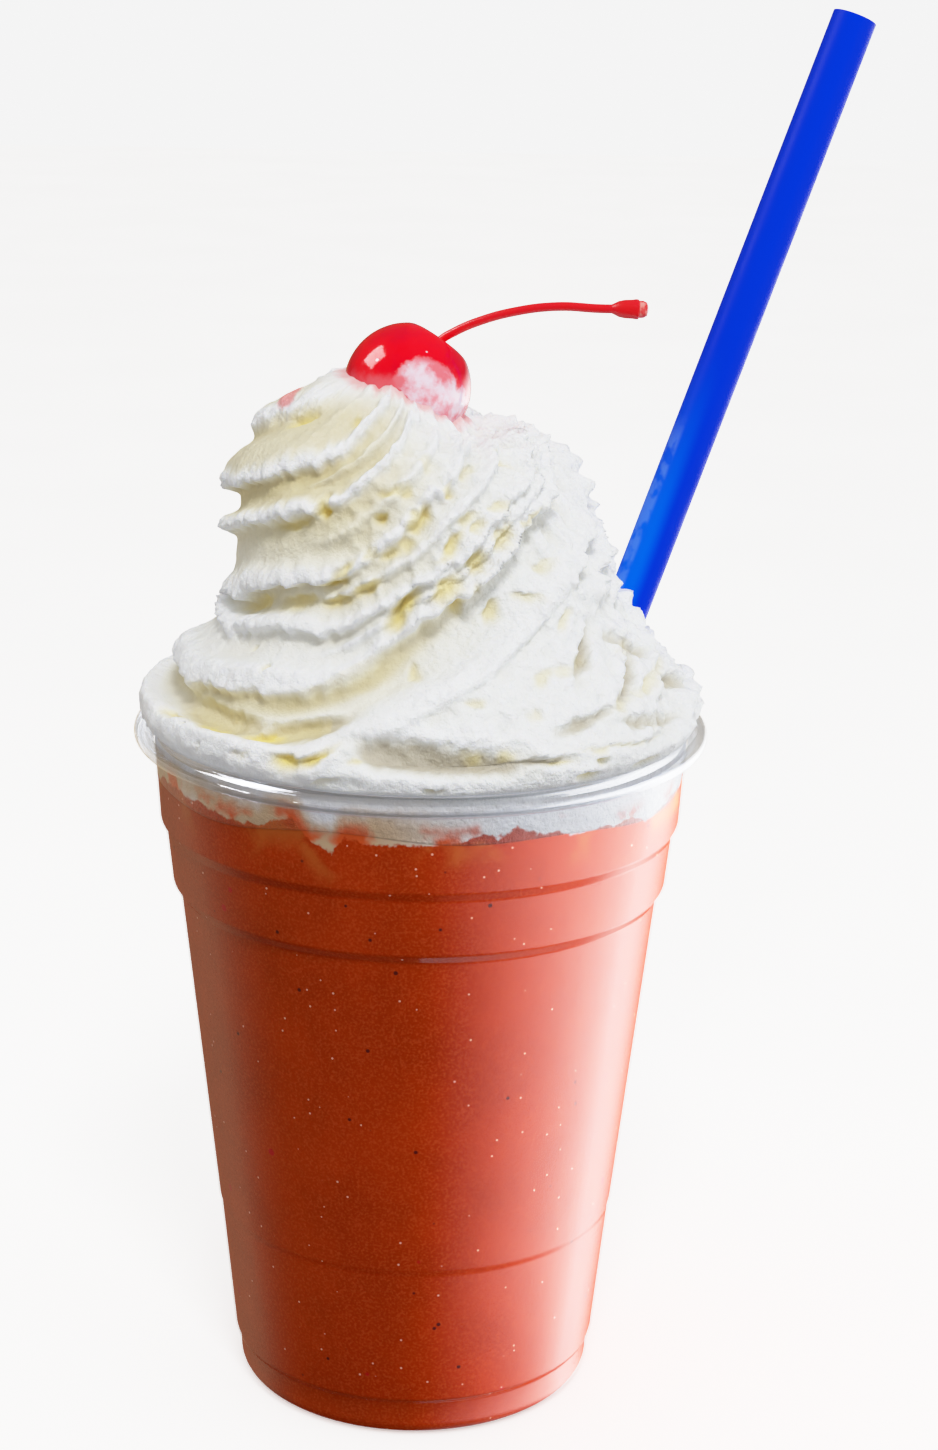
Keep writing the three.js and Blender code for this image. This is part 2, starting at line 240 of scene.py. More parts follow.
tint = (mirrored * around.between(*WARM_UNTIL)).mix(WHITE_LIGHT, tint)
join(backdrop, Strength=glow + seen * (BACKDROP_GLOW - glow), Color=tint)
film_look = bpy.context.scene.view_settings
film_look.view_transform = "Standard"
film_look.use_curve_mapping = True
film_look.curve_mapping.white_level = (BRIGHTEST, BRIGHTEST, BRIGHTEST)
for light, brightness in SHOULDER:
    film_look.curve_mapping.curves[3].points.new(light / BRIGHTEST, brightness)
film_look.curve_mapping.update()


# The cup is a tumbler formed from clear plastic sheet, with a rolled lip and two steps for stacking.
# It is made in one piece, with its wall thinner than a millimetre.
RIM_RADIUS = 49
CUP_HEIGHT = 121
LIP_ROLL = 1.85
WALL = 0.6
BASE = 0.8
FOOT_ROUND = 3.1
FOOT_RADIUS = 31.6
STEP_BLEND = 0.35
OUTER_WALL = [
    (31.8, 7.0),
    (32.5, 7.8),
    (35.0, 32.6),
    (35.3, 33.6),
    (41.6, 91.2),
    (42.9, 92.8),
    (43.9, 102.4),
    (44.9, 104.0),
    (45.7, 117.2),
]  # radius and height of the wall's corners, from the foot to the lip
CUP_FACETS = 192


def arc(centre, radius, first, last, steps):
    """Points of an arc, at [radius, height] from the centre; the turn is in degrees."""
    turns = [radians(first + (last - first) * i / steps) for i in range(steps + 1)]
    return [(centre[0] + radius * cos(turn), centre[1] + radius * sin(turn)) for turn in turns]


def wall_radius(height):
    return np.interp(height, [z for _, z in OUTER_WALL], [r for r, _ in OUTER_WALL])


def eased(outline, blend):
    """The outline with each inner corner cut to a short curve, as formed sheet has."""
    points = [Vector(point) for point in outline]
    soft = [points[0]]
    for before, corner, after in zip(points, points[1:], points[2:]):
        reach = min(blend, (corner - before).length / 2.2, (after - corner).length / 2.2)
        start_point = corner + (before - corner).normalized() * reach
        end_point = corner + (after - corner).normalized() * reach
        soft += [start_point, (start_point + 2 * corner + end_point) / 4, end_point]
    return [tuple(point) for point in soft + [points[-1]]]


def throw(name, outline, facets):
    """Raises a round piece: a disc is extruded ring by ring along an outline of [radius, height] in mm."""
    bpy.ops.object.select_all(action="DESELECT")
    radius, height = outline[0]
    spot = (0, 0, height * MM)
    bpy.ops.mesh.primitive_circle_add(vertices=facets, radius=radius * MM, fill_type="NGON", location=spot)
    piece = bpy.context.object
    piece.name = name
    bpy.ops.object.transform_apply(location=True)
    bpy.ops.object.mode_set(mode="EDIT")
    bpy.ops.mesh.select_all(action="SELECT")
    for (r0, z0), (r1, z1) in zip(outline, outline[1:]):
        bpy.ops.mesh.extrude_region_move(TRANSFORM_OT_translate={"value": (0, 0, (z1 - z0) * MM)})
        bpy.ops.transform.resize(value=(r1 / r0, r1 / r0, 1), center_override=(0, 0, z1 * MM))
    bpy.ops.mesh.select_all(action="SELECT")
    bpy.ops.mesh.normals_make_consistent(inside=False)
    bpy.ops.object.mode_set(mode="OBJECT")
    bpy.ops.object.shade_smooth_by_angle(angle=radians(40))
    return piece


foot = arc((FOOT_RADIUS - FOOT_ROUND, FOOT_ROUND), FOOT_ROUND, -90, 0, 8)
lip = arc((RIM_RADIUS - LIP_ROLL, CUP_HEIGHT - LIP_ROLL), LIP_ROLL, -140, 180, 28)
outer = eased([foot[-1]] + OUTER_WALL, STEP_BLEND)
inner = eased([(radius - WALL, height) for radius, height in OUTER_WALL], STEP_BLEND)[::-1]
inner_foot = arc((FOOT_RADIUS - FOOT_ROUND, FOOT_ROUND), FOOT_ROUND - BASE, 0, -90, 8)
cup = throw("clear_cup", foot[:-1] + outer + lip + inner + inner_foot, CUP_FACETS)

CLEAR_TINT = (0.97, 0.975, 0.98, 1)
MIRROR_TINT = (0.93, 0.95, 1, 1)
LIP_FOOT = (0.1165, 0.1175)
GLOSS = (0.012, 0.14)  # added to the mirroring, and the most of it
LIP_GLOSS = (0.035, 0.4)
cup_material, cup_shader, start = new_material("clear plastic", Base_Color=MIRROR_TINT, Metallic=1)
place = start.node("TexCoord", output="Object")
scuffs = start.noise(place, 160, 3)
join(cup_shader, Roughness=scuffs.between(0.35, 0.8, 0.035, 0.12))
gloss = start.node("Fresnel", {}, {"IOR": 1.5}) + GLOSS[0]
at_lip = start.node("SeparateXYZ", {}, {"Vector": place}, output="Z").between(*LIP_FOOT)
gloss = gloss.math("MINIMUM", gloss, at_lip * LIP_GLOSS[1] + GLOSS[1]) + at_lip * LIP_GLOSS[0]
clear = start.node("BsdfTransparent", {}, {"Color": CLEAR_TINT})
both = start.node("MixShader", {}, {0: gloss, 1: clear})
start.tree.links.new(cup_shader.outputs[0], both.socket.node.inputs[2])
start.tree.links.new(both.socket, start.tree.nodes["Material Output"].inputs["Surface"])
cup.data.materials.append(cup_material)
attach(cup, "root")
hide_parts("cup")


# The drink is thick blended fruit with tiny seeds and bubbles in it, poured up to just under the lip.
# Its top meets the cream in an uneven line, which shows through the wall.
# It is thrown like the cup, and reaches just into the wall.
INTO_WALL = 0.3
DRINK_LEVEL = 112.4
DRINK_FACETS = 192
WALL_FOOT = 6.9
BRIM = 110  # height of the top ring before it is moved to the uneven line
DRINK_WAVES = [(0.9, 3, 0.4), (0.6, 7, 2.1)]  # height, count and phase


def level_at(angle):
    """The height where the drink meets the cream at the wall, in mm; the angle is about the cup's axis."""
    return DRINK_LEVEL + sum(height * sin(count * angle + phase) for height, count, phase in DRINK_WAVES)


drink_wall = [(radius - INTO_WALL, height) for radius, height in outer if WALL_FOOT < height < BRIM - 2]
drink_foot = arc((FOOT_RADIUS - FOOT_ROUND, FOOT_ROUND), FOOT_ROUND - INTO_WALL, -90, 0, 8)
drink_outline = drink_foot + drink_wall + [(wall_radius(BRIM) - INTO_WALL, BRIM)]
drink = throw("blended_drink", drink_outline, DRINK_FACETS)
for vertex in drink.data.vertices:
    if abs(vertex.co.z - BRIM * MM) < 1e-6:
        angle = atan2(vertex.co.y, vertex.co.x)
        level = level_at(angle)
        grow = (wall_radius(level) - INTO_WALL) * MM / hypot(vertex.co.x, vertex.co.y)
        vertex.co = (vertex.co.x * grow, vertex.co.y * grow, level * MM)
bpy.ops.object.mode_set(mode="EDIT")
bpy.ops.mesh.select_all(action="DESELECT")
bpy.ops.object.mode_set(mode="OBJECT")
for face in drink.data.polygons:
    face.select = len(face.vertices) > 4 and face.center.z > CUP_HEIGHT / 2 * MM
bpy.ops.object.mode_set(mode="EDIT")
bpy.ops.mesh.poke()
bpy.ops.object.mode_set(mode="OBJECT")

FRUIT_LINE = [
    (-180, 112.5),
    (-75, 112.6),
    (-62, 114.6),
    (-54, 112.5),
    (-52, 114),
    (-46, 113),
    (-34, 112.1),
    (-31, 114.4),
    (-25, 115.1),
    (-21, 111),
    (-17, 109.4),
    (-14.5, 112.4),
    (8, 112.7),
    (14, 113.6),
    (17, 112.8),
    (21, 115),
    (25, 113.2),
    (42, 112),
    (51, 112.4),
    (57, 109.9),
    (63, 112.1),
    (180, 112.5),
]  # degrees from the front and height, where fruit shows up to on the wall
LINE_LOW = 105
LINE_HIGH = 120
PULP = (0.46, 0.032, 0.0015, 1)
PULP_DARK = (0.38, 0.025, 0.001, 1)
PULP_PALE = (0.66, 0.1, 0.025, 1)
ORANGE = (0.52, 0.11, 0.02, 1)
FILM = (0.58, 0.42, 0.27, 1)
WALL_CREAM = (0.78, 0.79, 0.84, 1)
SHADED_CREAM = (0.19, 0.195, 0.21, 1)  # where the drink's own lamp adds light
SEED = (0.1, 0.008, 0.008, 1)
RED_SEED = (0.5, 0.004, 0.012, 1)
BUBBLE = (0.9, 0.42, 0.3, 1)
AIR_POCKET_SHADE = (0.35, 0.3, 0.27, 1)
PULP_SPECKS = [
    (3.8, 0.3, 0.12, SEED),
    (8, 0.2, 0.1, RED_SEED),
    (2.2, 0.4, 0.11, BUBBLE),
]  # spacing in mm, share of the cells that have one, size in cells, and colour
WISP_REACH = 5  # mm that the line between fruit and cream is frayed by


def specks(start, place, spacing, share, radius):
    """Round specks: one in each cell of the given spacing in mm, of which only a share is kept."""
    cells = start.node("TexVoronoi", {}, {"Vector": place, "Scale": 1 / (spacing * MM)})
    kept = start.node("SeparateColor", {}, {"Color": cells.other("Color")})
    return cells.between(radius, radius * 0.6) * kept.math("LESS_THAN", kept, share)


def behind_wall(start, place, cream_colour):
    """The colours seen through the wall: blended fruit below, smeared into cream above an uneven line."""
    spot = start.node("SeparateXYZ", {}, {"Vector": place})
    front = spot.other("Y") * -1
    around = spot.math("ARCTAN2", spot.other("X"), front) * (0.5 / pi) + 0.5
    span = LINE_HIGH - LINE_LOW
    stops = [(turn / 360 + 0.5, [(height - LINE_LOW) / span] * 3 + [1]) for turn, height in FRUIT_LINE]
    line = around.node("ValToRGB", {"stops": stops}, {"Fac": around})
    wisps = start.noise(place, 170, 5, 0.65)
    height = spot.other("Z") * (1 / MM)
    above = height - (line * span + LINE_LOW) + (wisps - 0.5) * WISP_REACH
    mottle = start.noise(place, 70, 4, 0.6)
    pulp = mottle.between(0.3, 0.7).mix(PULP_DARK, PULP)
    pulp = (start.noise(place, 2200, 3).between(0.4, 0.75) * 0.4).mix(pulp, PULP_PALE)
    for spacing, share, size, colour in PULP_SPECKS:
        pulp = specks(start, place, spacing, share, size).mix(pulp, colour)
    smear = start.noise(place, 95, 3).between(0.5, 0.66)
    pulp = (smear * above.between(-7, -1)).mix(pulp, ORANGE)
    left = spot.other("X").between(0.016, -0.008)
    filmed = left * start.noise(place, 60, 3).between(0.2, 0.45) * above.between(6.5, 2)
    streaked = start.noise(place, 130, 3).between(0.5, 0.62) * above.between(4, 0.5)
    streak = streaked.mix(filmed.mix(cream_colour, FILM), PULP_PALE)
    # Small grey specks in the cream behind the wall are painted shade of air pockets against it.
    streak = specks(start, place, 6.5, 0.3, 0.1).mix(streak, AIR_POCKET_SHADE)
    return above.between(-0.25, 0.25).mix(pulp, streak), mottle


drink_material, drink_shader, start = new_material(
    "blended fruit",
    Roughness=0.6,
    Specular_IOR_Level=0,
    Subsurface_Weight=0.2,
    Subsurface_Radius=(1, 0.2, 0.05),
    Subsurface_Scale=0.002,
)
place = start.node("TexCoord", output="Object")
lit_side = start.node("SeparateXYZ", {}, {"Vector": place}).between(0, 0.04)
pulp, mottle = behind_wall(start, place, lit_side.mix(WALL_CREAM, SHADED_CREAM))
join(drink_shader, Base_Color=pulp, Normal=bumped(start, mottle, 0.2, 0.0004))
drink.data.materials.append(drink_material)

# Thick fruit takes in the window's light and glows on that side. A lamp for the drink alone stands for it.
DRINK_LAMP_SPOT = (0.62, 0.02, 0.12)
DRINK_LAMP_SIZE = (0.3, 0.3)
DRINK_LAMP_POWER = 14
drink_lamp = add_lamp("drink_lamp", DRINK_LAMP_SPOT, DRINK_LAMP_SIZE, DRINK_LAMP_POWER)
drink_lamp.visible_glossy = False
lit_by_it = bpy.data.collections.new("lit by the drink lamp")
lit_by_it.objects.link(drink)
drink_lamp.light_linking.receiver_collection = lit_by_it
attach(drink, "root")
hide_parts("drink")


# The whipped cream is piped on the drink in one thick swirl that winds up to a blunt crown.
# Each turn keeps the nozzle's ridges, with long hollows between them, torn and lumpy on the right.
# Its form is a grid of rings, each ring bent inwards along the ridges and the holes.
FRONT_TURN = 100
FRONT_COLUMNS = 310  # finer in front, where the torn flutes are
BACK_COLUMNS = 130
CREAM_AROUND = FRONT_COLUMNS + BACK_COLUMNS
CREAM_ROWS = 216
FLOOR_ROWS = 6
WALL_ROWS = 14
CREAM_OVERLAP = 0.2  # over the drink's edge, so that no gap shows through the wall
CREAM_INTO_WALL = 0.24  # a little further out than the drink, where it overlaps
MOUND = [
    (46.9, 121.5),
    (47.9, 123.6),
    (47.6, 126.2),
    (45.2, 129.2),
    (42.6, 132.8),
    (39.0, 136.8),
    (35.6, 140.4),
    (33.6, 145),
    (33.0, 150),
    (32.0, 155),
    (30.8, 160),
    (29.2, 165),
    (25.6, 170),
    (20.6, 174.4),
    (15.0, 178),
    (9.0, 179.6),
    (0.01, 179.8),
]  # radius and height
LEAN = -5.5
LEAN_HEIGHTS = (140, 178)
CROWN_FALL = 8  # the crown is this much lower on the right
CROWN_FALL_FROM = (-8, 10)
CROWN_FALL_HEIGHTS = (170, 181)
RIDGES = [
    (114.4, 0.05, -45, -15, 5.4, 0.22, 1.2),
    (121.6, 0.05, -45, -15, 5.0, 0.34, 1.2),
    (134.4, 0.05, -45, -15, 2.8, 0.34, 2.2),
    (141.8, 0.04, -40, -6, 3.6, 0.22, 1.2),
    (147, 0.13, -42, 5, 2.9, 0.22, 1.4),
    (158, 0.14, -42, 5, 3.4, 0.22, 1.2),
    (165.2, 0.14, -42, 5, 3.6, 0.62, 1.2),
    (177.2, 0.14, -42, 5, 3.2, 0.5, 1.2),
    (187, 0.14, -42, 5, 3.2, 0.22, 1.2),
]  # height at the left front, slope, turns where it gets steeper, and the hollow's depth, roll and droop
LOWER_RIDGES = 11
LOWER_SPACING = 7.6
LEFT_FRONT = -60
CLIMB = 0.27  # mm a degree, where a ridge is steep
HALF_RISE = 0.22
FLUTE_FALL = 0.13  # share of a flute that the upper ridge takes, below its crest
CALM_FROM = 12  # the wide smooth hollow along the front lies above this ridge
CALM_TO_TURN = (25, 45)
CREST_REACH = 0.11
SEAM = (150, 190)
PITS = [
    (-25, 163.0, 1.9, 1.0, 57, 2.6),
    (-6, 161.7, 1.2, 0.7, 20, 1.6),
    (-53, 175.7, 2.4, 0.8, 17, 1.4),
    (-17, 175.6, 0.7, 0.7, 46, 0.8),
    (-38, 159.5, 4.9, 0.7, 16, 1.2),
    (-1, 166.0, 2.3, 0.8, 14, 1.2),
    (6, 161.9, 2.9, 1.2, 48, 1.8),
    (-20, 153.4, 2.4, 0.7, 39, 1.8),
    (-24, 151.4, 2.8, 0.8, 16, 2.2),
    (-11, 156.2, 1.9, 0.7, 39, 1.4),
    (-5, 156.1, 2.1, 0.8, 24, 1.0),
    (18, 166.1, 1.2, 1.0, 42, 1.4),
    (29, 169.2, 2.4, 0.8, 17, 0.8),
    (13, 170.3, 1.3, 1.0, 44, 0.8),
    (48, 170.1, 1.9, 0.8, -53, 0.9),
    (34, 163.0, 2.4, 0.7, 13, 1.2),
    (45, 160.6, 3.4, 0.7, 22, 1.3),
    (22, 161.4, 2.5, 0.7, 18, 1.2),
    (25, 160.1, 2.0, 0.7, 29, 1.2),
    (32, 158.4, 2.6, 1.2, 39, 1.4),
    (14, 157.3, 3.5, 0.8, 40, 1.7),
    (21, 154.8, 2.5, 1.2, 38, 1.8),
    (10, 150.7, 3.1, 1.3, 34, 1.8),
    (-4, 147.5, 3.7, 1.2, 49, 2.4),
    (13, 147.6, 1.7, 1.0, 30, 1.5),
    (19, 150.5, 1.2, 1.0, 49, 1.0),
    (24, 146.6, 2.1, 1.0, 31, 1.4),
    (36, 148.3, 2.3, 0.8, -10, 1.0),
    (47, 152.8, 2.3, 0.7, 21, 0.9),
    (45, 144.4, 2.4, 0.8, 35, 1.0),
    (0, 157.6, 1.7, 1.0, 27, 1.0),
    (3, 165.9, 1.5, 0.8, 37, 1.0),
    (-14, 150.6, 3.2, 0.8, 30, 1.8),
    (-24, 147.7, 2.8, 0.7, 15, 1.5),
    (-62, 144.6, 5.5, 0.8, 14, 1.4),
    (-38, 146.7, 4.9, 1.0, 12, 1.2),
    (-40, 137.4, 0.7, 0.6, 9, 1.2),
    (-52, 139.7, 0.7, 0.4, 10, 0.7),
    (-62, 127.5, 3.3, 0.8, 2, 2.0),
    (-49, 128.4, 3.9, 0.7, -2, 2.0),
    (-54, 126.9, 1.0, 0.4, 12, 0.9),
    (-36, 129.1, 3.3, 0.8, 7, 2.2),
    (-47, 124.0, 1.1, 0.3, 75, 0.5),
    (-36, 124.9, 1.9, 0.7, 4, 0.7),
    (-26, 125.2, 2.6, 1.9, 10, 3.0),
    (-20, 126.4, 3.4, 1.1, 30, 2.6),
    (-12, 126.7, 0.8, 0.7, 4, 1.2),
    (-1, 139.6, 1.0, 1.0, 41, 1.0),
    (13, 134.8, 1.5, 0.7, 4, 0.8),
    (26, 132.1, 1.1, 0.8, -44, 0.7),
    (32, 137.4, 2.4, 0.7, 17, 0.9),
    (38, 137.5, 2.6, 0.7, -3, 0.8),
    (44, 138.6, 2.1, 0.7, 9, 0.6),
    (68, 133.2, 10.9, 1.0, 7, 0.9),
    (65, 138.2, 4.2, 0.7, 7, 0.6),
    (49, 131.5, 2.0, 1.0, 7, 0.8),
    (12, 128.4, 1.7, 0.7, -14, 1.2),
    (18, 127.8, 1.3, 0.7, -12, 1.2),
    (4, 121.5, 1.5, 0.4, 0, 1.8),
    (35, 122.5, 2.1, 0.8, -8, 1.6),
    (53, 121.5, 3.5, 0.8, 0, 1.2),
    (38, 124.7, 1.2, 0.5, -9, 1.4),
    (38, 126.3, 2.2, 0.5, 0, 1.0),
    (28, 125.4, 2.7, 0.3, -4, 1.2),
    (45, 126.1, 9.8, 0.3, -5, 0.8),
    (-18, 122.2, 2.5, 0.7, 17, 0.6),
]  # degrees from the front, height, half length, half width, tilt in degrees and depth
HOLLOWS = [
    (5, 127.2, 13, 2.6, -5, 4.8),
    (23, 126.2, 7, 0.7, -5, 2.2),
    (-52, 130, 11, 1.5, 0, 2.2),
    (-27, 131, 8, 1.6, 12, 2.4),
    (57, 134.5, 8, 1.0, 24, 1.7),
    (69, 138, 6, 1.0, -24, 1.6),
    (47, 139.5, 6, 0.9, 38, 1.7),
    (38, 130.5, 7, 0.8, 8, 1.5),
    (80, 130.5, 5, 1.1, -28, 1.7),
    (58, 128.5, 9, 0.8, -6, 1.5),
]  # wider ones under an edge, painted darker in colour as shade, with a little yellow only on the left
WANDER = [(1.1, 12, 1), (0.5, 4.5, 2)]  # waves in the ridges: height and size in mm, and seed
RAGGED = [(1, 3.4, 3), (0.7, 1.8, 13)]
TEETH = [(1, 2.3, 23)]
SWELLS = [(0.6, 8, 6)]
LUMPS = [(0.62, 2.8, 7), (0.4, 1.5, 8), (0.2, 0.9, 9)]
KNOBS = [(1.4, 5.5, 31), (0.7, 2.6, 32)]
FROTH = [(1, 1.9, 21), (0.6, 1.1, 22)]
FROTH_LEVEL = 0.1
SPIKES = [(1, 1.6, 33)]
SPIKE_LENGTH = 1.2
SHIFTS_ACROSS = [(0.8, 3.5, 11), (0.5, 1.4, 14)]
SHIFTS_UP = [(0.5, 3, 12), (0.35, 1.2, 15)]
TORN_FROM = (-40, 0)  # degrees from the front, to the right
TORN_UNTIL = (120, 170)
TORN_LEAST = 0.12
TORN_HEIGHTS = (134, 142)
RAG_RADIUS = 34
EDGE_ROWS = 10  # how far from a crest its ragged edge reaches
BULGE_UNTIL = (-34, -22)  # the smooth bulge at the left, low over the lip
BULGE_HEIGHTS = (126.5, 129.5)
LEFT_SIDE = (-140, -110)
ROLL_HEIGHTS = (121.8, 125)
QUIET_FROM = (28, 45)
QUIET_UNTIL = (85, 110)
QUIET_HEIGHTS = (146, 154)
RIGHT_FROM = (35, 70)
RIGHT_UNTIL = (120, 160)
RIGHT_HEIGHTS = (122, 126)
SPIKES_UNTIL = (-75, -50)
LEDGE_FROM = (-22, -8)
LEDGE_UNTIL = (30, 45)
LEDGE_DEPTH = 1.3
LEDGE_REACH = 6
HANG_HEIGHTS = (127, 131)
HANG_UNTIL = (-35, -10)
LIP_HEIGHTS = (122, 124)  # the crests hang freely above the second


def smooth(value, start, end):
    share = np.clip((value - start) / (end - start), 0, 1)
    return share * share * (3 - 2 * share)


def smooth_area(value, start, end):
    share = np.clip((value - start) / (end - start), 0, 1)
    return (end - start) * (share**3 - share**4 / 2) + np.maximum(0, value - end)


def grain(points, size, seed):
    """Soft random values between -1 and 1 at points in mm, which change over the given size."""
    shift = Vector((seed * 17.31, seed * 7.77, seed * 3.13))
    flat = points.reshape(-1, 3) / size
    return np.array([noise.noise(Vector(point) + shift) for point in flat]).reshape(points.shape[:-1])


def grains(points, layers):
    """Soft random values of several sizes, added up."""
    return sum(high * grain(points, size, seed) for high, size, seed in layers)


def within(value, rising, falling):
    """1 between two slopes and 0 outside them. Each slope is given by where it starts and ends."""
    return smooth(value, *rising) * (1 - smooth(value, *falling))


def softened(values, times=1):
    """Each value of a grid of rows and columns, averaged with its neighbours a number of times."""
    for _ in range(times):
        sides = np.roll(values, 1, 1) + np.roll(values, -1, 1)
        ends = np.vstack([values[:1], values[:-1]]) + np.vstack([values[1:], values[-1:]])
        values = values / 2 + (sides + ends) / 8
    return values


def pressed(holes, turns, height, radius, aside, upwards):
    """How deep the deepest hole is at each place, and how high the edge over it."""
    deepest = 0 * height
    edge = 0 * height
    for turn, level, length, width, tilt, deep in holes:
        across = radians(1) * (turns - turn) * radius + aside
        rise = height - level + upwards
        run = (across * cos(radians(tilt)) + rise * sin(radians(tilt))) / length
        side = (rise * cos(radians(tilt)) - across * sin(radians(tilt))) / width
        side = np.where(side > 0, side * 1.2, side * 0.75)
        deepest = np.maximum(deepest, deep * np.exp(-((run**2 + side**2) ** 1.6)))
        edge = np.maximum(edge, 0.22 * deep * np.exp(-(run**2) - ((side - 1.5) / 0.6) ** 2))
    return deepest, edge


lower = [(RIDGES[0][0] - LOWER_SPACING * (LOWER_RIDGES - i), *RIDGES[0][1:]) for i in range(LOWER_RIDGES)]
all_ridges = np.array(lower + RIDGES)
ridge_depths, ridge_rises, ridge_droops = all_ridges[:, 4:].T


def ridge_height(ridge, turn):
    left, slope, start, end = ridge[:4]
    return left + slope * (turn - LEFT_FRONT) + CLIMB * smooth_area(turn, start, end)


def hollowed(share, taken):
    """A flat hollow between two thin crests, of which the upper one hangs over it more steeply."""
    rise = 1 - np.exp(-((share / taken) ** 2))
    return rise * (1 - np.exp(-(((1 - share) / FLUTE_FALL) ** 2)))


def flutes(turn, height):
    """Depth under the crests, their droop, the torn pits along the flutes, and where it stays calm."""
    heights = np.array([ridge_height(ridge, turn) for ridge in all_ridges])
    above = np.clip((heights[:, None, :] <= height[None]).sum(0), 1, len(all_ridges) - 1)
    column = np.broadcast_to(np.arange(len(turn)), height.shape)
    low, high = heights[above - 1, column], heights[above, column]
    share = np.clip((height - low) / (high - low), 0, 1)
    split = 0.85 * smooth(turn, -38, -8) * (above - 1 > CALM_FROM)
    whole = hollowed(share, ridge_rises[above - 1]) * (0.75 + 0.25 * share)
    halves = 0.7 * hollowed((2 * share) % 1, HALF_RISE)
    depth = ridge_depths[above - 1] * (whole + (halves - whole) * split)
    depth = depth * (1 - (above - 1 < CALM_FROM) * (1 - smooth(turn, 42, 75)))
    near_low = np.exp(-((share / CREST_REACH) ** 2))
    near_high = np.exp(-(((1 - share) / CREST_REACH) ** 2))
    droop = ridge_droops[above - 1] * near_low + ridge_droops[above] * near_high
    number = above - 1 + share
    round_place = [np.broadcast_to(trig(np.radians(turn)) * 8, height.shape) for trig in (np.cos, np.sin)]
    pits = smooth(grain(np.stack([*round_place, number * 2.1], -1), 1, 5), 0.12, 0.5)
    calm = (number > CALM_FROM) * (number < CALM_FROM + 1) * (1 - smooth(turn, *CALM_TO_TURN))
    return depth, droop, pits, calm


def swirl(turn, height):
    """The flutes, with the swirl's end blended into its start at the back."""
    here = np.where(turn >= SEAM[0], turn, turn + 360)
    at_back = here <= SEAM[1]
    plain = flutes(np.where(at_back, here, turn), height)
    other = flutes(np.where(at_back, here - 360, turn), height)
    share = np.where(at_back, smooth(here, *SEAM), 0)
    return [first + (second - first) * share for first, second in zip(plain, other)]


def mound_rows(count):
    """Evenly spaced points up the mound's outline, with the way out of the surface at each."""
    points = np.array(MOUND)
    along = np.concatenate([[0], np.cumsum(np.hypot(*np.diff(points, axis=0).T))])
    fine = np.linspace(0, along[-1], count * 8)
    knots = [spline(along, points[:, axis], fine) for axis in (0, 1)]
    curve = np.stack(knots, 1)
    length = np.concatenate([[0], np.cumsum(np.hypot(*np.diff(curve, axis=0).T))])
    even = np.linspace(0, length[-1], count)
    rows = np.stack([np.interp(even, length, curve[:, axis]) for axis in (0, 1)], 1)
    way = np.gradient(rows, axis=0)
    way /= np.hypot(*way.T)[:, None]
    return rows, np.stack([way[:, 1], -way[:, 0]], 1)


def spline(along, values, wanted):
    """A smooth curve through values given at places along a line."""
    slopes = np.gradient(values, along)
    step = np.clip(np.searchsorted(along, wanted) - 1, 0, len(along) - 2)
    span = along[step + 1] - along[step]
    t = (wanted - along[step]) / span
    start = (2 * t**3 - 3 * t**2 + 1) * values[step] + (t**3 - 2 * t**2 + t) * span * slopes[step]
    return start + (3 * t**2 - 2 * t**3) * values[step + 1] + (t**3 - t**2) * span * slopes[step + 1]


front_turns = np.linspace(-FRONT_TURN, FRONT_TURN, FRONT_COLUMNS, endpoint=False)
back_turns = np.linspace(FRONT_TURN, 360 - FRONT_TURN, BACK_COLUMNS, endpoint=False)
turns = np.concatenate([front_turns, back_turns])
turns = np.where(turns > SEAM[1], turns - 360, turns)
angles = np.radians(turns - 90)
levels = np.array([level_at(angle) for angle in angles]) - CREAM_OVERLAP
rows = []
for i in range(FLOOR_ROWS):
    share = (i + 1) / FLOOR_ROWS
    radius = share * (wall_radius(levels) - CREAM_INTO_WALL)
    rows.append((radius, DRINK_LEVEL + share * (levels - DRINK_LEVEL)))
for i in range(WALL_ROWS):
    height = levels + (OUTER_WALL[-1][1] - levels) * (i + 1) / WALL_ROWS
    rows.append((wall_radius(height) - CREAM_INTO_WALL, height))
over_lip = arc((RIM_RADIUS - LIP_ROLL, CUP_HEIGHT - LIP_ROLL), LIP_ROLL + 0.1, 190, 110, 5)
rows += [(radius + 0 * angles, height + 0 * angles) for radius, height in over_lip]
mound, outward = mound_rows(CREAM_ROWS - len(rows))
radius = mound[:, :1] + 0 * angles
height = mound[:, 1:] + 0 * angles
base = np.stack([radius * np.cos(angles), radius * np.sin(angles), height], -1)

# The ridges wander, and near the crests their edges are ragged, most of all on the right.
torn = np.clip(smooth(turns, *TORN_FROM) - 0.5 * smooth(turns, *TORN_UNTIL) + TORN_LEAST, 0, 1)
rag = np.stack([np.cos(angles) * RAG_RADIUS, np.sin(angles) * RAG_RADIUS, 0 * angles], -1)
ragged = (0.4 + 0.4 * torn) * grains(rag, RAGGED) - (1.3 - 0.5 * torn) * np.abs(grains(rag, TEETH))
wander = height + grains(base, WANDER)
even_depth, even_droop = swirl(turns, wander)[:2]
depth, droop, pits, calm = swirl(turns, wander + ragged)
near_edge = np.clip(2.2 * softened(np.maximum(droop, even_droop), EDGE_ROWS), 0, 1)
depth = even_depth + (depth - even_depth) * near_edge
depth = depth * (1 + 0.25 * grain(base, 12, 4))
crest = np.clip(droop, 0, 1)
torn = torn * (1 - 0.85 * calm) * (0.5 + 0.5 * smooth(height, *TORN_HEIGHTS))

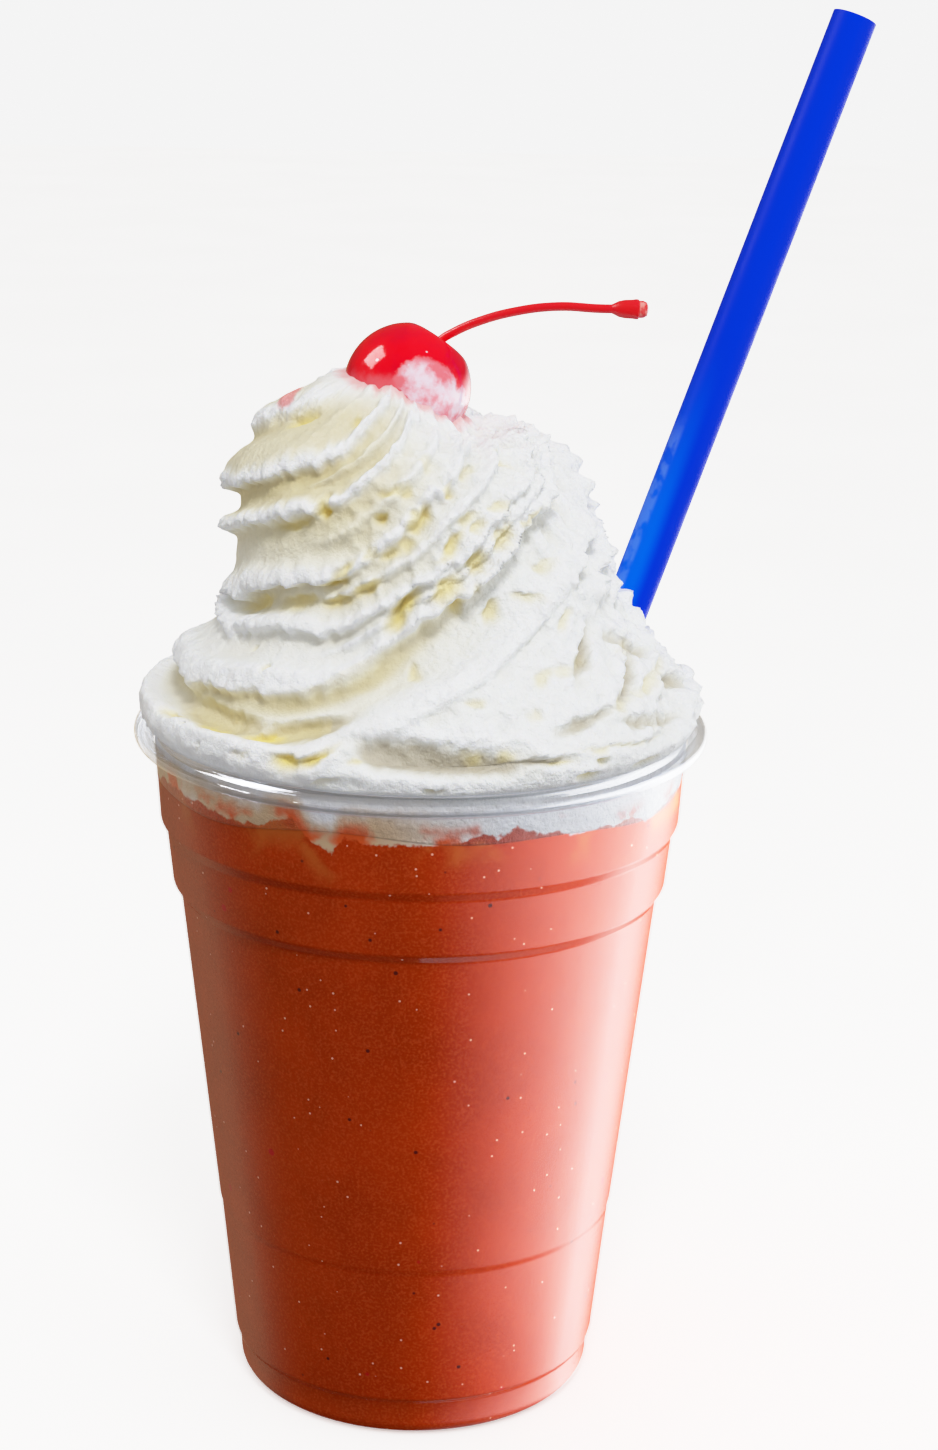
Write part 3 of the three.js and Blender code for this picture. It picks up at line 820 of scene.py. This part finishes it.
# The hollows fade out at the crown, on the bulge at the left, and on the roll over the lip.
bulge = (1 - smooth(turns, *BULGE_UNTIL)) * (1 - smooth(height, *BULGE_HEIGHTS)) * smooth(turns, *LEFT_SIDE)
roll = 1 - smooth(height, *ROLL_HEIGHTS)
quiet = within(turns, QUIET_FROM, QUIET_UNTIL) * (1 - smooth(height, *QUIET_HEIGHTS))
share = (1 - bulge) * (1 - 0.85 * roll) * smooth(radius, 8, 19) * (1 - 0.6 * quiet)
plucked = pits * torn * smooth(height, 128, 138) * smooth(radius, 4, 14)
plucked = plucked * (0.5 + 1.2 * smooth(turns, 40, 60))
inward = depth * share + plucked + grains(base, SWELLS) * (1 - 0.5 * bulge) * (1 - 0.6 * calm)

# Lumps, froth and knobs cover it, with small spikes on the crests at the left.
right_side = within(turns, RIGHT_FROM, RIGHT_UNTIL) * smooth(height, *RIGHT_HEIGHTS)
knobs = right_side * smooth(radius, 6, 16) * grains(base, KNOBS)
left_edge = (1 - smooth(turns, *SPIKES_UNTIL)) * smooth(turns, *LEFT_SIDE)
spikes = SPIKE_LENGTH * left_edge * crest * np.clip(grains(base, SPIKES), 0, 1)
lumps = (0.1 + 0.95 * torn + 0.2 * crest + 0.7 * right_side + 0.3 * bulge) * grains(base, LUMPS)
froth = 0
for high, size, seed in FROTH:
    froth = froth + high * np.sqrt(np.clip(grain(base, size, seed) - FROTH_LEVEL, 0, 1))
froth = froth * (0.3 * torn + 0.4 * crest * (1 - 0.4 * torn)) * share
inward = inward + knobs - spikes + lumps - froth

# A low ledge runs along the front, and holes are left where the cream tore.
under = ridge_height(RIDGES[1], turns) - height
ledge = smooth(under, 0, 0.8) * np.exp(-((np.maximum(under, 0) / LEDGE_REACH) ** 2))
inward = inward + LEDGE_DEPTH * within(turns, LEDGE_FROM, LEDGE_UNTIL) * ledge
shifts = grains(base, SHIFTS_ACROSS), grains(base, SHIFTS_UP)
pitted, pit_edge = pressed(PITS, turns, height, radius, *shifts)
shaded, hollow_edge = pressed(HOLLOWS, turns, height, radius, *shifts)
edge = np.maximum(pit_edge, hollow_edge)
inward = inward + np.maximum(pitted, shaded) - edge
inward = inward + 0.6 * torn * (softened(inward) - inward)

# Crests hang a little, the whole swirl leans to the left, and its crown falls off to the right.
lean = LEAN * smooth(height, *LEAN_HEIGHTS)
out, up = outward[:, :1], outward[:, 1:]
x = (radius - inward * out) * np.cos(angles) + lean
y = (radius - inward * out) * np.sin(angles)
hang = droop * share * smooth(height, *HANG_HEIGHTS) * (1 - 0.75 * smooth(turns, *HANG_UNTIL)) + edge
hang = hang + 0.9 * torn * (softened(hang, 2) - hang)
z = height - inward * up - hang * smooth(height, *LIP_HEIGHTS)
z = z - CROWN_FALL * smooth(x, *CROWN_FALL_FROM) * smooth(height, *CROWN_FALL_HEIGHTS)
shell = [(r * np.cos(angles), r * np.sin(angles), h + 0 * angles) for r, h in rows]
surface = np.concatenate([np.array(shell).transpose(0, 2, 1), np.stack([x, y, z], -1)])

bpy.ops.object.select_all(action="DESELECT")
bpy.ops.mesh.primitive_grid_add(x_subdivisions=CREAM_AROUND, y_subdivisions=CREAM_ROWS + 1, size=1)
cream = bpy.context.object
cream.name = "whipped_cream"
places = np.empty(len(cream.data.vertices) * 3)
cream.data.vertices.foreach_get("co", places)
places = places.reshape(-1, 3)
row = np.rint((places[:, 1] + 0.5) * (CREAM_ROWS + 1)).astype(int) - 1
column = np.rint((places[:, 0] + 0.5) * CREAM_AROUND).astype(int) % CREAM_AROUND
shaped = surface[np.clip(row, 0, len(surface) - 1), column] * MM
shaped[row < 0] = (0, 0, DRINK_LEVEL * MM)
shaped[row >= len(surface)] = surface[-1].mean(0) * MM
cream.data.vertices.foreach_set("co", shaped.ravel())
cream.data.update()

# Two values are kept at each place for the colour, both painted light and shade: how hollow it is, which
# paints hollows and the left's facets darker and crests lighter, and how deep in a yellow pocket, which
# paints the pits yellow as shade.
blurred = softened(inward, 14)
wide = softened(blurred, 60)
at_left = share * (1 - smooth(turns, -20, 30)) * smooth(turns, -160, -110)
upper_left = at_left * smooth(height, 150, 160)
deepest = np.clip(depth / 3.2, 0, 1) ** 3
# The facets on the left, turned from the light, are painted darker and yellower as shade.
facet_shade = at_left * ((0.2 * smooth(height, 142, 147) + 0.3 * upper_left) * (1 - crest) + 0.22 * deepest)
below_edge = ridge_height(RIDGES[2], turns) - height
facet_shade = facet_shade + 0.4 * at_left * within(below_edge, (0.3, 1.2), (2.5, 5))
curved = np.clip((0.7 * inward + 0.3 * blurred - wide) / 2.4, -1, 0.4)
# The upper left and the wide hollows are painted darker as shade, and the bulge at the left lighter as
# painted light.
painted_shade_and_light = 0.28 * at_left * smooth(height, 157, 164) * (1 - crest) + 0.4 * shaded - 0.3 * bulge
hollow = np.zeros((len(surface), CREAM_AROUND))
hollow[len(rows):] = np.clip(curved * (1 - 0.7 * upper_left * (1 - crest)) + facet_shade + painted_shade_and_light, -1, 1)
pocket = 0 * hollow
pocket[len(rows):] = np.clip(0.36 * pitted + 0.55 * facet_shade + 0.12 * shaded * (turns < -20), 0, 1)
for name, values in (("hollow", hollow), ("pocket", pocket)):
    attribute = cream.data.attributes.new(name, "FLOAT", "POINT")
    attribute.data.foreach_set("value", values[np.clip(row, 0, len(surface) - 1), column])
bpy.ops.object.mode_set(mode="EDIT")
bpy.ops.mesh.select_all(action="SELECT")
bpy.ops.mesh.remove_doubles(threshold=1e-6)
bpy.ops.mesh.normals_make_consistent(inside=False)
bpy.ops.object.mode_set(mode="OBJECT")
bpy.ops.object.shade_smooth()

CREAM_CREST_HIGHLIGHT = (0.93, 0.945, 0.97, 1)
CREAM_WHITE = (0.87, 0.88, 0.87, 1)
CREAM_SHADE = (0.77, 0.765, 0.72, 1)
CREAM_DEEP_SHADE = (0.55, 0.51, 0.42, 1)
CREAM_POCKET_SHADE = (0.85, 0.71, 0.25, 1)
JUICE = (0.88, 0.22, 0.22, 1)
STAIN_SPOT = (-0.0228, -0.0035, 0.1765)  # a drop of the cherry's juice, in metres
STAIN_REACH = (0.0052, 0.0034)
JUICE_REACH = (4, 1.8)  # mm round the cherry, where the cream has taken its colour
CREAM_FOOT = (0.1172, 0.1205)  # below it the wall's smears show
CHERRY_CENTRE = Vector((-3, 0, 177.4))
CHERRY_RADIUS = 10.6


def distance(start, place, spot):
    return start.node("VectorMath", {"operation": "DISTANCE"}, {0: place, 1: spot}, output="Value")


# The cream glows faintly in its own tone, a painted light that lifts its shade as light through the cream
# would.
cream_material, cream_shader, start = new_material(
    "whipped cream",
    Roughness=0.45,
    Subsurface_Weight=0.25,
    Subsurface_Radius=(1, 0.9, 0.7),
    Subsurface_Scale=0.0006,
    Emission_Strength=0.09,
)
place = start.node("TexCoord", output="Object")
# The tone is painted light and shade: bluish white on crests as a highlight, darker and yellower in the
# hollows and pockets.
hollow_shade_wire = start.node("Attribute", {"attribute_name": "hollow"}, output="Fac") * 0.5 + 0.5
stops = [(0.42, CREAM_CREST_HIGHLIGHT), (0.54, CREAM_WHITE), (0.7, CREAM_SHADE), (1, CREAM_DEEP_SHADE)]
tone = hollow_shade_wire.node("ValToRGB", {"stops": stops}, {"Fac": hollow_shade_wire})
tone = start.node("Attribute", {"attribute_name": "pocket"}, output="Fac").mix(tone, CREAM_POCKET_SHADE)
wisps = start.noise(place, 350, 4, 0.6) * 0.003
to_stain = distance(start, place, STAIN_SPOT)
tone = ((to_stain + wisps).between(*STAIN_REACH) * 0.8).mix(tone, JUICE)
to_cherry = distance(start, place, CHERRY_CENTRE * MM)
to_cherry = (to_cherry + wisps).between(*[(CHERRY_RADIUS + reach) * MM for reach in JUICE_REACH])
tone = (to_cherry * 0.55).mix(tone, JUICE)
upper = start.node("SeparateXYZ", {}, {"Vector": place}, output="Z").between(*CREAM_FOOT)
tone = upper.mix(behind_wall(start, place, WALL_CREAM)[0], tone)
foam = start.noise(place, 700, 5, 0.7) * hollow_shade_wire.between(0.75, 0.4, 0.5, 1)
lumpy = start.node("SeparateXYZ", {}, {"Vector": place}).between(-0.012, 0.012, 0.3, 1)
curds = start.noise(place, 240, 3, 0.6) * 1.4 + start.noise(place, 560, 3, 0.6) * 1.1
foam = foam + curds * lumpy
join(cream_shader, Base_Color=tone, Emission_Color=tone, Normal=bumped(start, foam, 0.9, 0.0009))
cream.data.materials.append(cream_material)
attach(cream, "root")
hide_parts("cream")


# The cherry is a whole candied one, pressed into the crown of the cream, with its stem still on.
# It is glossy and see-through red, with a dimple at the stem and a little cream on its side.
CHERRY_AXIS = Vector((0.556, 0.227, 0.8)).normalized()
DIMPLE_DEPTH = 1.9
DIMPLE_ANGLE = 34
CHERRY_STEPS = 48

cherry_outline = []
for i in range(1, CHERRY_STEPS):
    turn = pi * i / CHERRY_STEPS
    near_stem = 1 - float(smooth(180 - degrees(turn), 0, DIMPLE_ANGLE))
    reach = CHERRY_RADIUS - DIMPLE_DEPTH * near_stem
    cherry_outline.append((reach * sin(turn), -reach * cos(turn)))
cherry = throw("cherry", cherry_outline, 96)
cherry_tilt = CHERRY_AXIS.to_track_quat("Z", "Y").to_matrix().to_4x4()
cherry.data.transform(Matrix.Translation(CHERRY_CENTRE * MM) @ cherry_tilt)
bpy.ops.object.shade_smooth()

CHERRY_RED = (1, 0.001, 0.014, 1)
CHERRY_DEEP = (0.75, 0, 0.02, 1)
SMEAR_CREAM = (0.9, 0.72, 0.82, 1)
PINK_SMEAR_AND_REFLECTION = (0.9, 0.2, 0.24, 1)
SMEAR_MIDDLE = (4.6, 0.4)  # to the right of the cherry's centre and above it, in mm
SMEAR_TILT = radians(-40)
SMEAR_HALVES = (7, 3.9)
PINK_LEVELS = (4.2, 0.2)  # above the centre, where the pink starts and ends: partly the cream's pink juice, partly a painted reflection of the cream
cherry_material, cherry_shader, start = new_material(
    "candied cherry",
    Specular_IOR_Level=0.1,
    Coat_Weight=0.6,
    Coat_Roughness=0.05,
    Subsurface_Weight=0.4,
    Subsurface_Radius=(1, 0.1, 0.1),
    Subsurface_Scale=0.003,
)
place = start.node("TexCoord", output="Object")
spot = start.node("SeparateXYZ", {}, {"Vector": place})
flesh = start.noise(place, 160, 3).between(0.3, 0.6).mix(CHERRY_DEEP, CHERRY_RED)
wisps = start.noise(place, 220, 4, 0.6)
to_right = spot * (1 / MM) - (CHERRY_CENTRE.x + SMEAR_MIDDLE[0])
upwards = spot.other("Z") * (1 / MM) - (CHERRY_CENTRE.z + SMEAR_MIDDLE[1])
along = (to_right * cos(SMEAR_TILT) + upwards * sin(SMEAR_TILT)) * (1 / SMEAR_HALVES[0])
across = (upwards * cos(SMEAR_TILT) - to_right * sin(SMEAR_TILT)) * (1 / SMEAR_HALVES[1])
in_front = spot.other("Y").between(-0.002, -0.005)
smeared = (along * along + across * across + (wisps - 0.5) * 2.2).between(1.15, 0.75) * in_front
# The cherry's lower part is pink, partly from juice in the cream and partly a painted reflection of the
# cream below it.
pink_juice_and_reflection = (upwards + SMEAR_MIDDLE[1] + (wisps - 0.5) * 7).between(*PINK_LEVELS)
flesh = (pink_juice_and_reflection * 0.75).mix(flesh, PINK_SMEAR_AND_REFLECTION)
flesh = smeared.mix(flesh, wisps.between(0.35, 0.6).mix(PINK_SMEAR_AND_REFLECTION, SMEAR_CREAM))
# Tiny pale specks over the skin are painted glints.
flesh = specks(start, place, 2.6, 0.2, 0.13).mix(flesh, SMEAR_CREAM)
wrinkles = start.noise(place, 260, 3)
skin = bumped(start, wrinkles, 0.3, 0.0005)
join(cherry_shader, Base_Color=flesh, Roughness=smeared * 0.3 + 0.15, Normal=skin)
cherry.data.materials.append(cherry_material)
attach(cherry, "root")


# The stem is thin and red, curves over to the right, and ends in a knob with a pale cut tip.
# It grows out of the cherry's dimple. It is swept along a curve, and the knob is thrown and joined on.
STEM_PATH = [
    (0.9, 1.4, 183.1),
    (2.2, 1.9, 184.8),
    (4.8, 1.7, 186.5),
    (8.4, 1.2, 188.2),
    (14.6, 0.6, 190.1),
    (21.6, 0.2, 191.1),
    (28.6, 0, 190.9),
    (31.5, 0, 190.9),
]
STEM_RADIUS = 0.72
bpy.ops.object.select_all(action="DESELECT")
bpy.ops.curve.primitive_nurbs_path_add()
stem = bpy.context.object
stem.name = "cherry_stem"
stem.data.splines.clear()
path = stem.data.splines.new("BEZIER")
path.bezier_points.add(len(STEM_PATH) - 1)
for point, spot in zip(path.bezier_points, STEM_PATH):
    point.co = Vector(spot) * MM
    point.handle_left_type = "AUTO"
    point.handle_right_type = "AUTO"
stem.data.bevel_depth = STEM_RADIUS * MM
stem.data.bevel_resolution = 6
stem.data.resolution_u = 10
stem.data.use_fill_caps = True
stem.location = (0, 0, 0)
bpy.ops.object.convert(target="MESH")

KNOB_OVERLAP = 1
KNOB_TIP = 4.45  # from here on the cut end shows
KNOB_OUTLINE = [
    (0.5, 0),
    (0.72, 0),
    (1.0, 0.6),
    (1.3, 1.2),
    (1.5, 2.2),
    (1.55, 3.4),
    (1.65, 4.1),
    (1.6, 4.4),
    (1.42, 4.5),
    (1.4, 5.2),
    (1.1, 5.8),
    (0.5, 6),
]  # radius and place along the stem
knob = throw("stem_knob", KNOB_OUTLINE, 32)
knob_foot = Matrix.Translation((Vector(STEM_PATH[-1]) - Vector((KNOB_OVERLAP, 0, 0))) * MM)
knob.data.transform(knob_foot @ Matrix.Rotation(pi / 2, 4, "Y"))
stem.select_set(True)
bpy.context.view_layer.objects.active = stem
bpy.ops.object.join()
TIP_START = (STEM_PATH[-1][0] - KNOB_OVERLAP + KNOB_TIP) * MM
STEM_RED = (0.8, 0.002, 0.008, 1)
TIP_PINK = (0.9, 0.3, 0.27, 1)
stem_material, stem_shader, start = new_material("cherry stem", Roughness=0.3)
place = start.node("TexCoord", output="Object")
at_tip = start.node("SeparateXYZ", {}, {"Vector": place}, output="X").between(TIP_START, TIP_START + 0.0003)
tip = start.noise(place, 700, 2).between(0.35, 0.6).mix(STEM_RED, TIP_PINK)
streaks = start.noise(place, 400, 3)
bark = (streaks.between(0.35, 0.65) * 0.35).mix(STEM_RED, CHERRY_DEEP)
join(stem_shader, Base_Color=at_tip.mix(bark, tip), Normal=bumped(start, streaks, 0.3, 0.0003))
stem.data.materials.append(stem_material)
bpy.ops.object.shade_smooth()
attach(stem, "root")
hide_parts("cherry")


# The straw is a thin tube of dark blue plastic, cut off straight at both ends.
# It stands in the drink and leans out to the back right, where the cream holds it.
STRAW_RADIUS = 3.8
STRAW_BORE = 3.5
STRAW_TOP = Vector((71.5, 27, 237.4))
STRAW_LEAN = Vector((0.339, 0.161, 0.927)).normalized()
STRAW_LENGTH = 248
STRAW_FLOOR = 2  # the bore is closed under this, down in the drink
straw_outside = [(STRAW_RADIUS, 0), (STRAW_RADIUS, STRAW_LENGTH)]
straw_outline = straw_outside + [(STRAW_BORE, STRAW_LENGTH), (STRAW_BORE, STRAW_FLOOR)]
straw = throw("straw", straw_outline, 96)
straw_foot = STRAW_TOP - STRAW_LEAN * STRAW_LENGTH
straw_tilt = STRAW_LEAN.to_track_quat("Z", "Y").to_matrix().to_4x4()
straw.data.transform(Matrix.Translation(straw_foot * MM) @ straw_tilt)
STRAW_BLUE = (0, 0.035, 0.72, 1)
STRAW_LIT = (0, 0.13, 0.97, 1)
STRAW_SHEEN = (0.25, 0.5, 1, 1)
LIT_HEIGHTS = (185, 148)  # the straw is painted lighter up to here, as light from the cream shining through it
straw_material, straw_shader, start = new_material("blue straw", Roughness=0.4, Specular_IOR_Level=0.03)
place = start.node("TexCoord", output="Object")
spot = start.node("SeparateXYZ", {}, {"Vector": place})
height = spot.other("Z") * (1 / MM)
slant = STRAW_LEAN.x / STRAW_LEAN.z
aside = spot * (1 / MM) - STRAW_TOP.x - (height - STRAW_TOP.z) * slant
# The lower left of the straw is painted a lighter blue, as light through it.
lit = height.between(*LIT_HEIGHTS) * (aside + height * 0.02).between(4.4, 1.6)
blue = lit.mix(STRAW_BLUE, STRAW_LIT)
# A pale streak along the straw's left edge is a painted sheen.
streak = start.noise(place, 300, 2).between(0.35, 0.5)
streak = aside.between(-2.2, -2.9) * height.between(172, 166) * streak
scuffs = start.noise(place, 120, 3).between(0.3, 0.7, 0.3, 0.42)
join(straw_shader, Base_Color=(streak * 0.25).mix(blue, STRAW_SHEEN), Roughness=scuffs)
straw.data.materials.append(straw_material)
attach(straw, "root")
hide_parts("straw")
